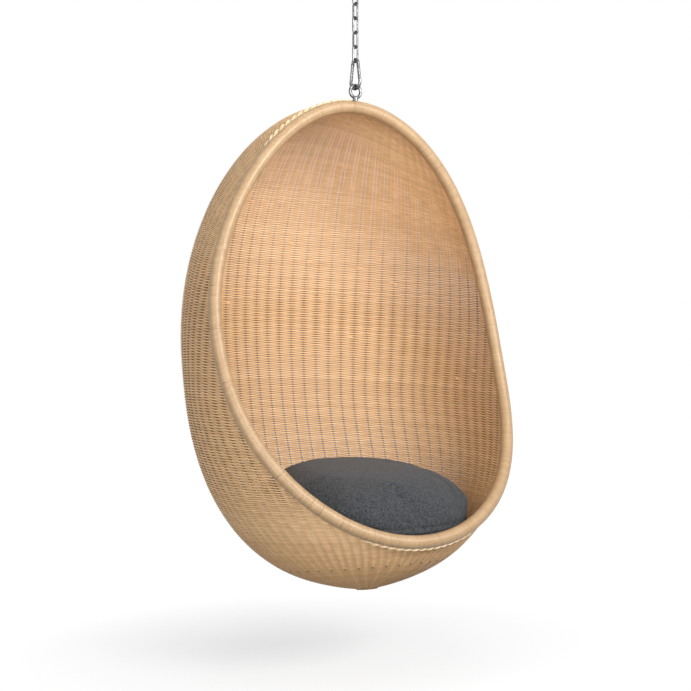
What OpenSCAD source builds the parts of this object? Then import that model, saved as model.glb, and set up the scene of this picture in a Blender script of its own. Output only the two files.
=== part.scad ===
// Hanging pod chair: a woven rattan egg on a bent hoop, hung by an eye, a snap
// hook and a welded chain from a ceiling fitting, with a loose cushion.
// The origin is the middle of the ceiling plate's upper face. +Z is up and the
// chair looks along -Y. All sizes are millimetres.

/* [Egg] */
// Width of the egg across the middle of its weave
egg_w = 814; // [740:2:880]
// Height from the widest level up to the crown
crown_h = 611; // [580:1:640]
// Depth from the widest level down to the bottom
bowl_d = 581; // [550:1:610]
// Fullness of the crown, where 2 is a plain ellipse
crown_full = 1.87; // [1.75:0.01:2.1]
// Fullness of the bowl's floor, where 2 is a plain ellipse
bowl_full = 2.17; // [2:0.01:2.4]
// Steepness of the bowl's wall, where 2 is a plain ellipse
bowl_steep = 2.49; // [2.2:0.01:2.7]
// Angle by which the egg's crown leans back
egg_lean = 8.4; // [6:0.2:10]

/* [Opening] */
// How far the opening lies in front of the egg's axis at the widest level
open_set = 80; // [70:1:95]
// How far the opening leans back over a rise of half the egg's width
open_lean = 61; // [50:1:70]
// How far the opening bows forward at that height, above and below
open_bow = 101; // [90:1:110]
// How far the bow eases again at that height
open_ease = 19; // [14:1:24]

/* [Weave] */
// Thickness of one layer of weavers
skin_t = 1.15; // [1:0.05:1.4]
// Thickness of a stake
stake_d = 5; // [4.6:0.1:5.2]
// Number of long stakes, with as many side stakes between them
stake_n = 36; // [24:2:36]
// Angle by which the fan of stakes leans forward of upright
stake_lean = 4.5; // [2:0.5:7]
// Radius at which the side stakes are pushed in beside the long ones
side_stake_r = 201; // [180:1:230]
// Width of the solid edge that closes the weave behind the hoop
edge_w = 10; // [8:0.5:14]
// Diameter of the twined border behind the hoop
border_d = 10; // [8:0.5:12]
// Distance of the border from the hoop's middle line
border_set = 24; // [22:0.5:30]
// Diameter of the bottom knot
knot_d = 58; // [52:1:64]
// Length of the cut stake ends that stand out of the knot
knot_end_l = 6; // [4:0.5:8]
// Thickness of the knot's bound disc
knot_t = 4; // [3:0.5:5]

/* [Hoop] */
// Diameter of the bent rattan pole
pole_d = 28; // [26:0.5:30]
// Thickness of the rattan peel wound round the pole
peel_t = 1.5; // [1.2:0.1:2]
// Length of the slanted scarf joint that closes the pole
scarf_l = 90; // [70:1:110]
// Diameter of the dowel through the scarf joint
dowel_d = 6; // [5:0.5:8]

/* [Hanging eye] */
// Diameter of the hole in the eye
ring_hole = 22; // [20:0.5:26]
// Diameter of the wire of the eye
ring_wire = 8; // [7:0.5:8.5]
// Height of the collar under the eye
collar_h = 3.8; // [3:0.1:6]
// Diameter of the collar
collar_d = 12; // [11:0.5:15]
// Diameter of the shank through the pole
shank_d = 8; // [6:0.5:8]
// Wall of the steel sleeve in the pole
sleeve_t = 1; // [0.8:0.1:1.2]
// Width of the nut across its flats
nut_af = 13; // [12.5:0.1:13.5]
// Height of the nut
nut_h = 6; // [5:0.1:6.5]
// Diameter of the washer above the nut
washer_d = 16; // [15.5:0.1:17]
// Thickness of that washer
washer_t = 1.6; // [1.2:0.1:2]

/* [Snap hook] */
// Length of the snap hook over all
hook_len = 80; // [76:1:100]
// Diameter of its wire
hook_wire = 8; // [7.5:0.1:8.2]
// Radius of the narrow upper bend, along the wire's middle line
hook_top_r = 9; // [9:0.1:10]
// Radius of the wide lower bend, along the wire's middle line
hook_low_r = 16; // [15:0.5:19]
// Diameter of the gate
gate_d = 7.6; // [7.2:0.1:7.8]
// Thickness of the two tongues that the gate's forks straddle
tongue_t = 2.8; // [2.4:0.1:3]
// Diameter of the rivet that the gate turns on
rivet_d = 3; // [2.6:0.1:3.2]
// Diameter of the cross pin in the gate's lower fork
latch_d = 2.5; // [2.2:0.1:2.6]

/* [Chain] */
// Diameter of the chain's wire
chain_wire = 5; // [4.5:0.1:5]
// Inner length of a link
link_in_l = 35.5; // [32:0.5:40]
// Inner width of a link
link_in_w = 10; // [9.5:0.1:12]
// Angle between the hanging gear and the chair, seen from above
chain_turn = 10; // [0:1:15]

/* [Ceiling fitting] */
// Diameter of the ceiling plate
plate_d = 90; // [80:1:110]
// Thickness of the ceiling plate
plate_t = 5; // [4:0.5:8]
// Diameter of the screw holes
screw_hole = 6.5; // [5:0.5:8]
// Diameter of the circle that the screw holes lie on
screw_circle = 66; // [60:1:72]
// Diameter of the wire of the welded eye
eye_wire = 8; // [7:0.5:8.5]
// Inner width of the welded eye
eye_in_w = 16; // [15:0.5:20]
// Straight length of the eye's legs below the plate
eye_leg = 14; // [10:1:20]

/* [Cushion] */
// Height of the cushion's middle level over the bowl's floor
pad_rise = 215; // [200:1:226]
// Height of the cushion's crown above that level
pad_h = 72; // [60:1:80]
// Room under the cushion's middle
pad_floor_room = 65; // [50:1:80]
// Room between the cushion's sides and the weave at its middle level
pad_side_room = 90; // [84:1:110]
// Room behind the cushion at that level
pad_back_room = 107; // [100:1:130]
// How far the cushion's front reaches out over the hoop's lowest point
pad_over = 19; // [0:1:24]
// Angle of the cushion against the egg's axis
pad_tilt = 14; // [10:1:17]
// Depth to which the seam draws the sides in
seam_in = 4; // [2:0.5:6]
// Height of the band that the seam draws in
seam_h = 22; // [16:1:30]
// Thickness of the cover with its wadding
cover_t = 14; // [8:1:20]

/* [Fits] */
// Gap between links, hook and eye where one hangs in the next
hang_gap = 0.3; // [0.2:0.05:0.5]
// Gap between parts that lie against each other
seat_gap = 0.3; // [0.2:0.05:0.4]
// Radial clearance of the gate on its rivet
rivet_fit = 0.05; // [0.02:0.01:0.1]
// Gap between the peel and the pole
peel_gap = 0.15; // [0.1:0.05:0.2]
// Clearance of the cushion above the weave
pad_gap = 1.5; // [1:0.5:4]
// Clearance of the cushion's corners from the wrapped hoop
hoop_gap = 6; // [5.5:0.5:12]
// Clearance of a stake between the two layers of the weave
stake_gap = 0.6; // [0.3:0.1:0.8]

/* [Hidden] */

round_fn = 48;
overrun = 1;

// The egg: radius and height at the angle b of the profile
egg_r = egg_w / 2;
profile_steps = 26;
root_steps = 22;
nudge_angle = 0.4;
function power(v, e) = pow(max(v, 0), e);
function egg_rad(b) = egg_r * power(cos(b), 2 / (b < 0 ? bowl_full : crown_full));
function egg_z(b) = b < 0 ? -bowl_d * power(sin(-b), 2 / bowl_steep)
    : crown_h * sin(b);
// Outward normal of the profile, as [radial, upward]
function egg_slope(b) = let (
    p = max(b - nudge_angle, -90),
    q = min(b + nudge_angle, 90),
    dr = egg_rad(q) - egg_rad(p),
    dz = egg_z(q) - egg_z(p))
    [dz, -dr] / norm([dz, -dr]);
function egg_normal(b) = b <= -90 ? [0, -1] : b >= 90 ? [0, 1] : egg_slope(b);

// Evenly spaced angles of the profile
function profile_angle(i) = -90 + 180 * i / profile_steps;

// Side view of the opening: its distance along Y at the height z
function open_y(z) = let (u = z / egg_r)
    -open_set + open_lean * u - open_bow * u * u + open_ease * pow(u, 4);
function open_rise(z) = let (u = z / egg_r)
    (open_lean - 2 * open_bow * u + 4 * open_ease * pow(u, 3)) / egg_r;

// Angle of the profile where the opening, set back by s, meets the middle plane
function open_gap(b, s) = egg_rad(b) - abs(open_y(egg_z(b)) + s);
function root(lo, hi, s, n) = let (mid = (lo + hi) / 2)
    n == 0 ? mid
    : open_gap(mid, s) > 0 ? root(lo, mid, s, n - 1) : root(mid, hi, s, n - 1);
function low_angle(s) = root(-90, 0, s, root_steps);
function high_angle(s) = root(90, 0, s, root_steps);

// A point at the turn t of the line where the opening meets the egg, lifted off
// the weave by h
function loop_point(t, s, lo, hi, h) = let (
    b = (lo + hi) / 2 - (hi - lo) / 2 * cos(t),
    r = egg_rad(b),
    y = open_y(egg_z(b)) + s,
    x = sqrt(max(r * r - y * y, 0)) * sign(sin(t)),
    m = egg_normal(b))
    [x, y, egg_z(b)] + h * [m[0] * x / r, m[0] * y / r, m[1]];
function loop_path(n, s, h) = let (lo = low_angle(s), hi = high_angle(s))
    [for (i = [0 : n - 1]) loop_point(360 * i / n, s, lo, hi, h)];

// Turns a point of the egg upright into the chair's own axes
function leant(p) = let (c = cos(egg_lean), s = sin(egg_lean))
    [p[0], c * p[1] + s * p[2], c * p[2] - s * p[1]];

// The hanging gear, counted down from the ceiling
round_wire = round_fn;
link_bow_r = (link_in_w + chain_wire) / 2;
link_l = link_in_l + chain_wire;
link_pitch = link_in_l - hang_gap;
link_n = 6;
eye_bow_r = (eye_in_w + eye_wire) / 2;
eye_low_z = -plate_t - eye_leg - eye_bow_r;
function link_top_z(k) = eye_low_z + (eye_wire + chain_wire) / 2 + hang_gap
    - (link_n - k) * link_pitch;
hook_top_z = link_top_z(1) - link_l + (chain_wire + hook_wire) / 2 + hang_gap;
hook_span = hook_len - hook_wire - hook_top_r - hook_low_r;
hook_low_z = hook_top_z - hook_top_r - hook_span - hook_low_r;
ring_r = (ring_hole + ring_wire) / 2;
ring_z = hook_low_z + (hook_wire + ring_wire) / 2 + hang_gap - ring_r;
binding_r = pole_d / 2 + peel_gap + peel_t;
hoop_top_z = ring_z - ring_r - ring_wire / 2 - collar_h - binding_r;
hoop_top = leant(loop_point(180, 0, low_angle(0), high_angle(0), 0));
hoop_low = leant(loop_point(0, 0, low_angle(0), high_angle(0), 0));
egg_place = [0, -hoop_top[1], hoop_top_z - hoop_top[2]];

module in_chair() translate(egg_place) children();
module in_egg() in_chair() rotate([-egg_lean, 0, 0]) children();
module in_gear() rotate([0, 0, chain_turn]) children();

// Surface swept along a closed or an open row of points. The ring's first
// corner points away from the middle of the egg.
function unit(v) = v / norm(v);
function swept_ring(p, dir, ref, r, sides) = let (
    t = unit(dir),
    n = unit(ref - (ref * t) * t),
    m = cross(t, n))
    [for (j = [0 : sides - 1]) p + r * (cos(360 * j / sides) * n + sin(360 * j / sides) * m)];
function quad(a, b, c, d) = [[a, b, c], [a, c, d]];
function wall_faces(rings, sides, wrap) = [for (i = [0 : rings - (wrap ? 1 : 2)])
    for (j = [0 : sides - 1])
    let (k = (i + 1) % rings, l = (j + 1) % sides)
    each quad(i * sides + j, k * sides + j, k * sides + l, i * sides + l)];
module closed_tube(path, r, sides) {
    n = len(path);
    rings = [for (i = [0 : n - 1])
        swept_ring(path[i], path[(i + 1) % n] - path[(i + n - 1) % n], path[i], r, sides)];
    polyhedron([for (ring = rings) each ring], wall_faces(n, sides, true));
}
module open_tube(path, r, sides) {
    n = len(path);
    rings = [for (i = [0 : n - 1])
        swept_ring(path[i], path[min(i + 1, n - 1)] - path[max(i - 1, 0)], path[i], r, sides)];
    first_cap = [for (j = [1 : sides - 2]) [0, j, j + 1]];
    last_cap = [for (j = [1 : sides - 2]) [(n - 1) * sides, (n - 1) * sides + j + 1, (n - 1) * sides + j]];
    polyhedron([for (ring = rings) each ring],
        concat(wall_faces(n, sides, false), first_cap, last_cap));
}

// The hoop: a bent pole, the peel wound round it, and the scarf that joins it
hoop_rings = 72;
hoop_sides = 12;
hoop_path = loop_path(hoop_rings, 0, 0);
scarf_kerf = peel_gap;
scarf_slant = atan((pole_d + 2 * overrun) / scarf_l);
bore_depth = pole_d / 2 + overrun;
nut_seat = washer_d / 2;
washer_z = -pole_d / 2 + nut_h + washer_t + seat_gap + peel_gap + (pole_d / 2
    - sqrt(pow(pole_d / 2, 2) - pow(nut_seat, 2)));

module at_hoop_top() translate([0, 0, hoop_top_z]) children();
module at_hoop_low() in_chair() translate(hoop_low) children();

module hoop_pole() color("#c9a06a") difference() {
    in_egg() closed_tube(hoop_path, pole_d / 2, hoop_sides);
    at_hoop_top() translate([0, 0, -bore_depth])
        cylinder(d = shank_d + 2 * sleeve_t + 2 * peel_gap, h = 2 * bore_depth, $fn = round_fn);
    at_hoop_top() translate([0, 0, -bore_depth])
        cylinder(d = washer_d + 2 * seat_gap, h = washer_z + bore_depth, $fn = round_fn);
    at_hoop_low() rotate([0, scarf_slant, 0])
        cube([2 * scarf_l, pole_d + 2 * overrun, scarf_kerf], center = true);
    at_hoop_low() translate([0, 0, -bore_depth])
        cylinder(d = dowel_d, h = 2 * bore_depth, $fn = round_fn);
}

module scarf_dowel() color("#b98d58") at_hoop_low() translate([0, 0, -pole_d / 2 + overrun])
    cylinder(d = dowel_d, h = pole_d - 2 * overrun, $fn = round_fn);

module peel_binding() color("#e3c593") difference() {
    in_egg() closed_tube(hoop_path, binding_r, hoop_sides);
    in_egg() closed_tube(hoop_path, pole_d / 2 + peel_gap, hoop_sides);
    at_hoop_top() cylinder(d = shank_d + 2 * peel_gap, h = bore_depth + peel_t, $fn = round_fn);
}

// The hanging eye: a ring on a collar, with a shank that runs down through the
// steel sleeve in the pole to a washer and a nut sunk in the pole's underside
shank_low_z = washer_z - washer_t - nut_h;
collar_low = binding_r + seat_gap / 2;

module hanging_eye() color("#c4c7ca") {
    translate([0, 0, ring_z]) rotate([90, 0, 0])
        rotate_extrude($fn = round_wire) translate([ring_r, 0]) circle(d = ring_wire, $fn = round_wire);
    difference() {
        at_hoop_top() cylinder(d = collar_d, h = binding_r + collar_h + ring_wire / 2, $fn = round_fn);
        at_hoop_top() rotate([0, 90, 0])
            cylinder(r = collar_low, h = 2 * collar_d, center = true, $fn = round_fn);
    }
    at_hoop_top() translate([0, 0, shank_low_z])
        cylinder(d = shank_d, h = binding_r + overrun - shank_low_z, $fn = round_fn);
}

module eye_sleeve() color("#9a9da0") at_hoop_top() translate([0, 0, washer_z]) difference() {
    cylinder(d = shank_d + 2 * sleeve_t + peel_gap, h = pole_d / 2 - washer_z - 2 * overrun, $fn = round_fn);
    translate([0, 0, -overrun])
        cylinder(d = shank_d + peel_gap, h = pole_d + 2 * overrun, $fn = round_fn);
}

module eye_washer() color("#aeb1b4") at_hoop_top() translate([0, 0, washer_z - washer_t]) difference() {
    cylinder(d = washer_d, h = washer_t, $fn = round_fn);
    translate([0, 0, -overrun])
        cylinder(d = shank_d + peel_gap, h = washer_t + 2 * overrun, $fn = round_fn);
}

module eye_nut() color("#aeb1b4") at_hoop_top() translate([0, 0, shank_low_z]) difference() {
    cylinder(d = nut_af / cos(30), h = nut_h, $fn = 6);
    translate([0, 0, -overrun]) cylinder(d = shank_d, h = nut_h + 2 * overrun, $fn = round_fn);
}

// The woven egg: two layers of weavers with the stakes between them. The layers
// run together into a solid edge behind the hoop.
weave_t = stake_d + 2 * (stake_gap + skin_t);
half_weave = weave_t / 2;
half_core = half_weave - skin_t;
edge_set = binding_r + 2 * seat_gap;
cut_steps = 28;
cut_low_z = -bowl_d - weave_t;
cut_high_z = crown_h + weave_t;

module egg_solid(d) rotate_extrude($fn = round_fn)
    polygon(concat([[0, -bowl_d - d]],
        [for (i = [1 : profile_steps - 1]) let (b = profile_angle(i))
            [egg_rad(b), egg_z(b)] + d * egg_normal(b)],
        [[0, crown_h + d]]));

// Everything behind the opening, when the opening is set back square to itself
function cut_point(z, s) = let (n = unit([1, -open_rise(z)]))
    [open_y(z), z] + s * n;
function cut_edge(s) = [for (i = [0 : cut_steps])
    cut_point(cut_low_z + (cut_high_z - cut_low_z) * i / cut_steps, s)];
module behind_opening(s) rotate([90, 0, 90])
    linear_extrude(height = egg_w + 2 * weave_t, center = true)
    polygon(concat(cut_edge(s),
        [[egg_w, cut_high_z + weave_t], [egg_w, cut_low_z - weave_t]]));

module woven_shell() color("#cf9a5e") in_egg() difference() {
    intersection() {
        egg_solid(half_weave);
        behind_opening(edge_set);
    }
    intersection() {
        difference() {
            egg_solid(half_core);
            egg_solid(-half_core);
        }
        behind_opening(edge_set + edge_w);
    }
    egg_solid(-half_weave);
}

// The stakes fan out from the bottom knot, in planes through one leaning line
half_stake = stake_d / 2;
stake_step = 360 / stake_n;
module stake_slabs(turn, from_r) translate([0, 0, -bowl_d]) rotate([egg_lean + stake_lean, 0, 0])
    for (k = [0 : stake_n - 1]) rotate([0, 0, turn + stake_step * k])
        translate([from_r, -half_stake, -weave_t * 8])
        cube([egg_w, stake_d, crown_h + bowl_d + weave_t * 16]);

module stakes(turn, from_r) in_egg() intersection() {
    difference() {
        egg_solid(half_stake);
        egg_solid(-half_stake);
    }
    stake_slabs(turn, from_r);
    behind_opening(edge_set + edge_w + stake_gap);
}
module main_stakes() color("#b98550") stakes(stake_step / 2, knot_d / 2 + stake_d);
module side_stakes() color("#b98550") stakes(0, side_stake_r);

// The bottom knot: the long stakes' ends, bound together and cut off short
module base_knot() color("#c08a52") in_egg() translate([0, 0, -bowl_d - half_weave - seat_gap - knot_t]) {
    cylinder(d = knot_d, h = knot_t, $fn = round_fn);
    for (k = [0 : stake_n / 2 - 1]) rotate([0, 0, 2 * stake_step * k])
        translate([knot_d / 2 - stake_d, 0, -knot_end_l])
        cylinder(d = stake_d - skin_t, h = knot_end_l + overrun, $fn = round_fn);
}

// The twined border that locks the stakes' ends, laid on the weave
border_rings = 84;
border_sides = 8;
module border_twine() color("#d8ab6f") in_egg()
    closed_tube(loop_path(border_rings, border_set, half_weave + 2 * seat_gap + border_d / 2),
        border_d / 2, border_sides);

// One link of the chain, hung at its upper bend
module bow(r, wire) rotate([90, 0, 0])
    rotate_extrude(angle = 180, $fn = round_wire) translate([r, 0]) circle(d = wire, $fn = round_wire);
module chain_link(k) color("#b9bcc0") in_gear() rotate([0, 0, k % 2 == 0 ? 90 : 0])
    translate([0, 0, link_top_z(k)]) {
        translate([0, 0, -link_bow_r]) bow(link_bow_r, chain_wire);
        translate([0, 0, link_bow_r - link_l]) mirror([0, 0, 1]) bow(link_bow_r, chain_wire);
        for (side = [-1, 1]) translate([side * link_bow_r, 0, link_bow_r - link_l])
            cylinder(d = chain_wire, h = link_l - 2 * link_bow_r, $fn = round_wire);
    }

// The ceiling fitting: a screwed plate with an eye welded to it
screw_n = 4;
module ceiling_plate() color("#c6c9cc") translate([0, 0, -plate_t]) difference() {
    cylinder(d = plate_d, h = plate_t, $fn = round_fn);
    for (k = [0 : screw_n - 1]) rotate([0, 0, 360 / screw_n * (k + 0.5)])
        translate([screw_circle / 2, 0, -overrun])
        cylinder(d = screw_hole, h = plate_t + 2 * overrun, $fn = round_fn);
}
module ceiling_eye() color("#c6c9cc") in_gear() translate([0, 0, -plate_t - eye_leg]) {
    mirror([0, 0, 1]) bow(eye_bow_r, eye_wire);
    for (side = [-1, 1]) translate([side * eye_bow_r, 0, 0])
        cylinder(d = eye_wire, h = eye_leg, $fn = round_wire);
}

// The snap hook, drawn flat: x is the gate's side, y is up, and the origin is
// the middle of the narrow upper bend
hook_angle = asin((hook_low_r - hook_top_r) / hook_span);
side_l = hook_span * cos(hook_angle);
hinge_s = hook_wire * 0.56;
// The straight side is drawn a hair thinner, so that it laps into both bends
wire_lap = hook_wire / 40;
fork_gap = (hook_wire - gate_d) / 2;
tongue_r = gate_d / 2 - fork_gap;
fork_w = tongue_t + fork_gap * 2;
gate_end_s = side_l - hook_wire / 8;
latch_s = side_l - hook_wire * 0.62;
latch_reach = hook_wire * 0.44;
latch_play = seat_gap;
head_t = rivet_d / 5;
spring_r = gate_d * 0.27;
spring_wire = gate_d * 0.05;
spring_l = side_l * 0.26;
push_l = gate_d / 2;
hinge_clear = tongue_r + seat_gap;

module in_hook() in_gear() translate([0, 0, hook_top_z - hook_top_r]) rotate([90, 0, 90]) children();
module on_side(s) rotate([0, 0, hook_angle]) translate([hook_top_r, -s, 0]) children();
module arc_wire(r, from, turn) rotate([0, 0, from])
    rotate_extrude(angle = turn, $fn = round_wire) translate([r, 0]) circle(d = hook_wire, $fn = round_wire);

module hook_body() color("#bfc2c6") in_hook() {
    arc_wire(hook_top_r, hook_angle, 180 - 2 * hook_angle);
    translate([0, -hook_span, 0]) arc_wire(hook_low_r, 180 - hook_angle, 180 + 2 * hook_angle);
    mirror([1, 0, 0]) on_side(-wire_lap) rotate([90, 0, 0])
        cylinder(d = hook_wire - wire_lap / 5, h = side_l + 2 * wire_lap, $fn = round_wire);
    difference() {
        on_side(hinge_s) linear_extrude(height = tongue_t, center = true) {
            circle(r = tongue_r, $fn = round_fn);
            translate([-tongue_r, 0]) square([2 * tongue_r, hinge_s + overrun]);
        }
        on_side(hinge_s) cylinder(d = rivet_d, h = hook_wire, center = true, $fn = round_fn);
    }
    on_side(side_l + overrun) linear_extrude(height = tongue_t, center = true) difference() {
        translate([-tongue_r, 0]) square([2 * tongue_r, side_l + overrun - latch_s + latch_reach]);
        translate([0, side_l + overrun - latch_s]) circle(d = latch_d + 2 * latch_play, $fn = round_fn);
        translate([-hook_wire, side_l + overrun - latch_s - latch_d / 2 - latch_play])
            square([hook_wire, latch_d + 2 * latch_play]);
    }
}

module gate_rivet() color("#a9acb0") in_hook() on_side(hinge_s) {
    cylinder(d = rivet_d, h = gate_d + 2 * rivet_fit, center = true, $fn = round_fn);
    for (side = [0, 1]) mirror([0, 0, side]) translate([0, 0, gate_d / 2 + rivet_fit])
        cylinder(d = rivet_d * 1.5, h = head_t, $fn = round_fn);
}

module hook_gate() color("#b4b7bb") in_hook() on_side(hinge_s) difference() {
    union() {
        sphere(d = gate_d, $fn = round_fn);
        rotate([90, 0, 0]) cylinder(d = gate_d, h = gate_end_s - hinge_s, $fn = round_fn);
    }
    translate([-gate_d, -hinge_clear, -fork_w / 2]) cube([2 * gate_d, hinge_clear + gate_d, fork_w]);
    translate([-gate_d, -side_l, -fork_w / 2])
        cube([2 * gate_d, side_l + hinge_s - latch_s + latch_reach + hook_wire / 6, fork_w]);
    cylinder(r = rivet_d / 2 + rivet_fit, h = hook_wire, center = true, $fn = round_fn);
    translate([0, hinge_s - latch_s, 0]) cylinder(d = latch_d, h = hook_wire, center = true, $fn = round_fn);
    rotate([90, 0, 0]) cylinder(r = spring_r + seat_gap, h = hinge_clear + push_l + spring_l, $fn = round_fn);
}

module latch_pin() color("#a9acb0") in_hook() on_side(latch_s)
    cylinder(d = latch_d, h = gate_d * 0.94, center = true, $fn = round_fn);

module push_pin() color("#8f9296") in_hook() on_side(hinge_s) translate([0, -hinge_clear, 0])
    rotate([90, 0, 0]) cylinder(r = spring_r, h = push_l, $fn = round_fn);

spring_turns = 6;
spring_rings = 8;
spring_path_r = spring_r - spring_wire;
spring_room = spring_l - 2 * spring_wire;
spring_last = spring_turns * spring_rings;
spring_sides = 6;
spring_path = [for (i = [0 : spring_last]) let (a = 360 * i / spring_rings)
    [spring_path_r * cos(a), spring_path_r * sin(a), spring_room * i / spring_last]];
spring_least = min([for (i = [0 : spring_last - spring_rings + 1])
    for (j = [i + spring_rings - 1 : spring_last])
    norm(spring_path[i] - spring_path[j]) - 2 * spring_wire]);
echo(spring_least_gap = spring_least);
module gate_spring() color("#8f9296") in_hook() on_side(hinge_s)
    translate([0, -hinge_clear - push_l - spring_wire, 0]) rotate([90, 0, 0])
    open_tube(spring_path, spring_wire, spring_sides);

// The cushion, drawn in the egg's axes: a crowned round pad, pressed down into
// the bowl, whose sides the seam draws in
pad_segments = 44;
pad_rings = 20;
core_segments = 20;
core_rings = 10;
pad_plan_share = 0.85;
pad_side_share = 0.8;
pad_pinch_share = 0.012;
pad_pinch_n = 7;
bed_in = half_weave + pad_gap;
rim_in = binding_r + hoop_gap;
rim_points = loop_path(2 * hoop_rings, 0, 0);
pad_drop = bowl_d - pad_rise;
pad_deep = pad_rise - pad_floor_room;
bed_r = (egg_r - bed_in) * power(1 - power(pad_drop / (bowl_d - bed_in), bowl_steep), 1 / bowl_full);
pad_w = 2 * (bed_r - pad_side_room);
pad_back_y = bed_r - pad_back_room;
pad_front_y = rim_points[0][1] - pad_over;
pad_d = pad_back_y - pad_front_y;
pad_middle = [0, (pad_back_y + pad_front_y) / 2, -pad_drop];
pad_hub = pad_middle + [0, 0, 2 * pad_h];
function bulge(v, e) = sign(v) * pow(abs(v), e);
function in_bowl(p) = power(norm([p[0], p[1]]) / (egg_r - bed_in), bowl_full)
    + power(abs(p[2]) / (bowl_d - bed_in), bowl_steep) <= 1;
function in_bed(p) = in_bowl(p) && min([for (q = rim_points) norm(p - q)]) > rim_in;
function bedded(p, lo, hi, n) = let (mid = (lo + hi) / 2)
    n == 0 ? pad_hub + lo * (p - pad_hub)
    : in_bed(pad_hub + mid * (p - pad_hub)) ? bedded(p, mid, hi, n - 1) : bedded(p, lo, mid, n - 1);
function tilted(p) = let (c = cos(pad_tilt), s = sin(pad_tilt))
    [p[0], c * p[1] - s * p[2], s * p[1] + c * p[2]];
function seam_pull(z) = seam_in * max(0, 1 - pow(2 * z / seam_h, 2));
function pad_point(u, w, inset) = let (
    z = ((u < 0 ? pad_deep : pad_h) - inset) * bulge(sin(u), pad_side_share),
    flat = bulge(cos(u), pad_side_share) * (1 - pad_pinch_share * (1 + cos(pad_pinch_n * w)) * cos(u)),
    pull = inset + seam_pull(z),
    p = pad_middle + tilted([(pad_w / 2 - pull) * flat * bulge(cos(w), pad_plan_share),
        (pad_d / 2 - pull) * flat * bulge(sin(w), pad_plan_share), z]))
    in_bed(p) ? p : bedded(p, 0, 1, root_steps);
module pad_body(inset, segments, rings) {
    body = [for (i = [1 : rings - 1]) for (j = [0 : segments - 1])
        pad_point(-90 + 180 * i / rings, 360 * j / segments, inset)];
    low = len(body);
    last = (rings - 2) * segments;
    polyhedron(concat(body, [pad_point(-90, 0, inset), pad_point(90, 0, inset)]),
        concat(wall_faces(rings - 1, segments, false),
            [for (j = [0 : segments - 1]) [low, j, (j + 1) % segments]],
            [for (j = [0 : segments - 1]) [low + 1, last + (j + 1) % segments, last + j]]));
}
module cushion_cover() color("#45464a") in_egg() difference() {
    pad_body(0, pad_segments, pad_rings);
    pad_body(cover_t, core_segments, core_rings);
}
module cushion_fill() color("#efece2") in_egg() pad_body(cover_t + seat_gap, core_segments, core_rings);

// The zip in the cushion's back seam
zip_share = 0.3;
zip_steps = 24;
zip_d = 3;
zip_sides = 6;
module cover_zip() color("#2e2f31") in_egg()
    open_tube([for (i = [0 : zip_steps])
        let (w = 90 + 180 * zip_share * (2 * i / zip_steps - 1))
        pad_point(0, w, -zip_d / 2 - 2 * seat_gap)], zip_d / 2, zip_sides);

ceiling_plate();
ceiling_eye();
chain_link(6);  // chain_link_6
chain_link(5);  // chain_link_5
chain_link(4);  // chain_link_4
chain_link(3);  // chain_link_3
chain_link(2);  // chain_link_2
chain_link(1);  // chain_link_1
hook_body();
gate_rivet();
hook_gate();
latch_pin();
push_pin();
gate_spring();
hanging_eye();
eye_washer();
eye_nut();
eye_sleeve();
hoop_pole();
scarf_dowel();
peel_binding();
border_twine();
woven_shell();
main_stakes();
side_stakes();
base_knot();
cushion_cover();
cushion_fill();
cover_zip();
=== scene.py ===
import math

import bpy
import numpy as np
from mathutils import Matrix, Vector


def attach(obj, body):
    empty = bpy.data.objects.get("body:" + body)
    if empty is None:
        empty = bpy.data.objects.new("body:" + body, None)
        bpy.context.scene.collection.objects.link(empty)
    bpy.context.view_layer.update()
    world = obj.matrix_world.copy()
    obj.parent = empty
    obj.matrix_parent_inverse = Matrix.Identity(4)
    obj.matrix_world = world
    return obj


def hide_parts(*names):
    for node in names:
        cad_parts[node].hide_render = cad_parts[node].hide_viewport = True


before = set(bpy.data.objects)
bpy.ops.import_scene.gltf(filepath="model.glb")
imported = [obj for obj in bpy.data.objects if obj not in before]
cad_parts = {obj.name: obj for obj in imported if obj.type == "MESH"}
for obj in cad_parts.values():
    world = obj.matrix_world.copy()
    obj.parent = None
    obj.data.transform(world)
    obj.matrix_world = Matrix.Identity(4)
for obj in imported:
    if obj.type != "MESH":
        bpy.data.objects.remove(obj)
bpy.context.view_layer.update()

# Camera: level with the middle of the egg and a little to the left of its
# front, at the distance from which the chair shows this much of its side.
EGG_PLACE = np.array([0.0, 0.0339, -0.9417])
CAMERA_TURN = math.radians(32.434)
CAMERA_RANGE = 3.2162
CAMERA_DROP = 0.0054
FRAME_PIXELS = 691
FOCUS_PIXELS = 1297.6
SENSOR_MM = 36
camera = bpy.data.objects.new("camera", bpy.data.cameras.new("camera"))
bpy.context.scene.collection.objects.link(camera)
camera.location = (-CAMERA_RANGE * math.sin(CAMERA_TURN),
                   EGG_PLACE[1] - CAMERA_RANGE * math.cos(CAMERA_TURN),
                   EGG_PLACE[2] - CAMERA_DROP)
camera.rotation_euler = (math.pi / 2, 0, -CAMERA_TURN)
camera.data.sensor_width = SENSOR_MM
camera.data.lens = SENSOR_MM * FOCUS_PIXELS / FRAME_PIXELS
camera.data.shift_x = -0.0036
camera.data.shift_y = 0.0063
camera.data.clip_end = 50
bpy.context.scene.camera = camera
bpy.context.scene.view_settings.view_transform = "Standard"

# Studio: a white room. A large soft lamp stands in front of the chair, a wide
# one on its left and a weak one above it, and a small narrow one shines up into
# the crown. The room looks white, but gives the chair only a little light.
AIR_LIGHT = 0.31


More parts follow.
